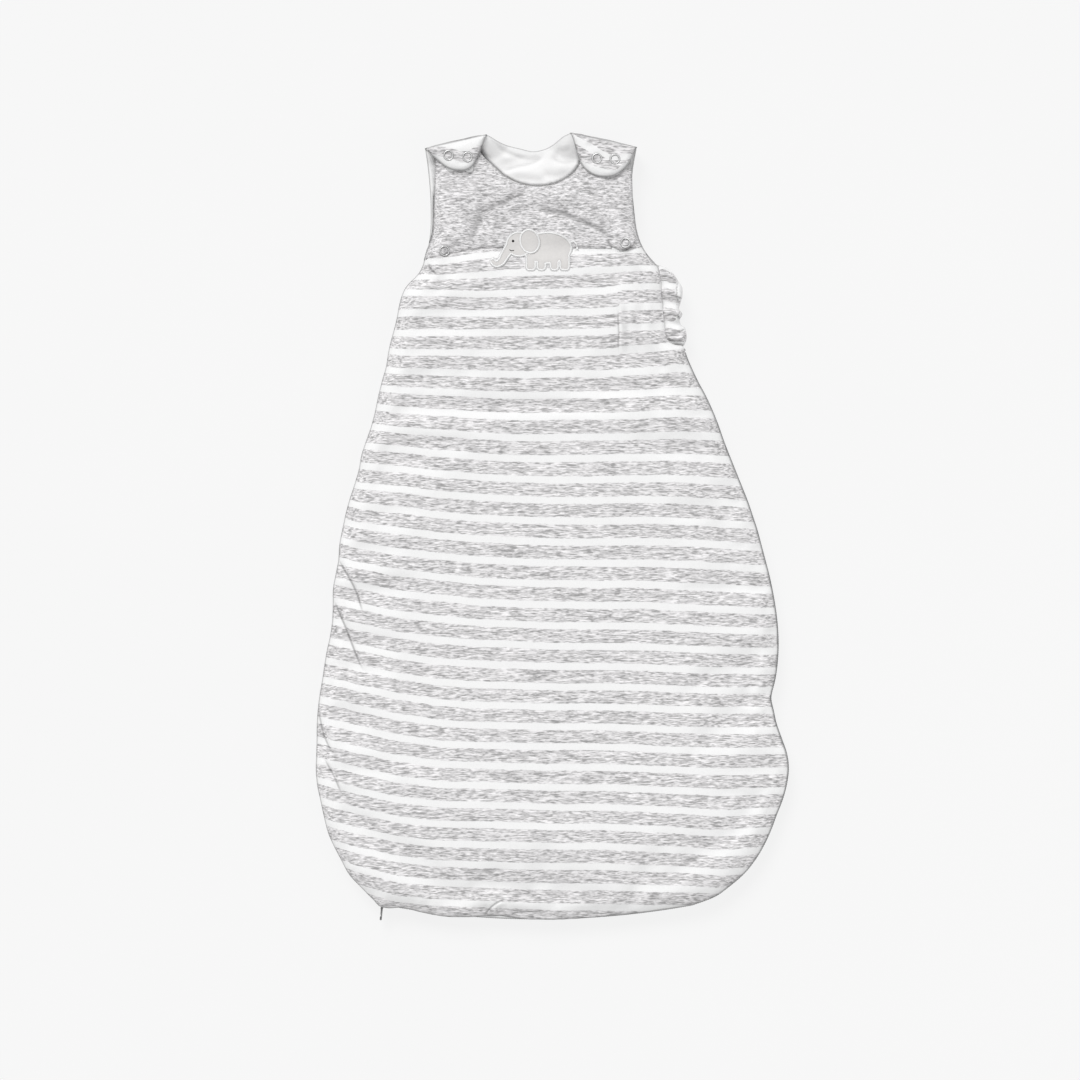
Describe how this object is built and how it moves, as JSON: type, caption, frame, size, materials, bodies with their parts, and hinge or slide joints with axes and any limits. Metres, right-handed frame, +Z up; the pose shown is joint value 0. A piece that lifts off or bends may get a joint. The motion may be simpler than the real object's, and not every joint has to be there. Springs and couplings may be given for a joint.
{
  "type": "baby sleeping bag",
  "caption": "Sleeveless quilted baby sleeping bag with snap shoulder tabs and a zip down one side and along the hem, lying flat.",
  "frame": {"origin": "centre of the bag's outline, on the surface the back lies on", "axes": "+Z up through the front panel, +Y towards the neck, +X towards the zipped side"},
  "size_m": [0.4266, 0.7083, 0.036],
  "materials": {
    "grey_marl_jersey": "soft heathered knit",
    "striped_jersey": "soft knit, heathered grey stripes on white",
    "white_lining": "soft white knit",
    "wadding": "polyester fill",
    "zip_tape": "woven tape",
    "zip_teeth": "satin coil",
    "zip_metal": "dark nickel",
    "snap_metal": "satin nickel",
    "applique_jersey": "smooth woven cotton",
    "stitch_thread": "satin stitch",
    "dark_thread": "satin stitch"
  },
  "bodies": {
    "bag_body": {"back_outer": "striped_jersey", "back_wadding": "wadding", "back_lining": "white_lining", "front_yoke": "grey_marl_jersey", "front_skirt_fixed": "striped_jersey", "front_wadding_fixed": "wadding", "front_lining_fixed": "white_lining", "left_side_seam": "striped_jersey", "underarm_gusset": "striped_jersey", "underarm_gusset_lining": "white_lining", "zip_tape_back": "zip_tape", "zip_tape_end": "zip_tape", "zip_teeth_back": "zip_teeth", "zip_teeth_end": "zip_teeth", "zip_top_stop": "zip_metal", "zip_end_stop": "zip_metal", "zip_guard": "white_lining", "left_bodice_studs": "snap_metal", "left_bodice_rings": "snap_metal", "right_bodice_studs": "snap_metal", "right_bodice_rings": "snap_metal", "underarm_caps": "snap_metal", "underarm_sockets": "snap_metal", "underarm_studs": "snap_metal", "underarm_rings": "snap_metal", "applique_body": "applique_jersey", "applique_head": "applique_jersey", "applique_ear": "applique_jersey", "applique_border": "stitch_thread", "applique_eye": "dark_thread"},
    "front_flap": {"front_skirt_flap": "striped_jersey", "front_wadding_flap": "wadding", "front_lining_flap": "white_lining", "zip_tape_front": "zip_tape", "zip_teeth_front": "zip_teeth"},
    "left_shoulder_tab": {"left_tab_outer": "striped_jersey", "left_tab_wadding": "wadding", "left_tab_lining": "white_lining", "left_tab_caps": "snap_metal", "left_tab_sockets": "snap_metal"},
    "right_shoulder_tab": {"right_tab_outer": "striped_jersey", "right_tab_wadding": "wadding", "right_tab_lining": "white_lining", "right_tab_caps": "snap_metal", "right_tab_sockets": "snap_metal"},
    "zip_slider": {"slider_body": "zip_metal"},
    "zip_pull_tab": {"zip_pull": "zip_metal"}
  },
  "joints": [
    {"name": "front_flap_fold", "type": "hinge", "parent": "bag_body", "child": "front_flap", "pos_m": [-0.01555, -0.08969, 0.0364], "axis": [-0.437, -0.8995, 0], "range_deg": [0, 165]},
    {"name": "left_tab_fold", "type": "hinge", "parent": "bag_body", "child": "left_shoulder_tab", "pos_m": [-0.0869, 0.34625, 0.0265], "axis": [-0.9751, -0.2219, 0], "range_deg": [0, 170]},
    {"name": "right_tab_fold", "type": "hinge", "parent": "bag_body", "child": "right_shoulder_tab", "pos_m": [0.0459, 0.34755, 0.0267], "axis": [-0.9771, 0.2126, 0], "range_deg": [0, 170]},
    {"name": "zip_run", "type": "hinge", "parent": "bag_body", "child": "zip_slider", "pos_m": [-0.0125, 0.415, 0.013], "axis": [0, 0, 1], "range_deg": [0, 20]},
    {"name": "pull_swivel", "type": "hinge", "parent": "zip_slider", "child": "zip_pull_tab", "pos_m": [-0.15366, -0.34328, 0.013], "axis": [0, 0, 1], "range_deg": [-75, 75]}
  ]
}
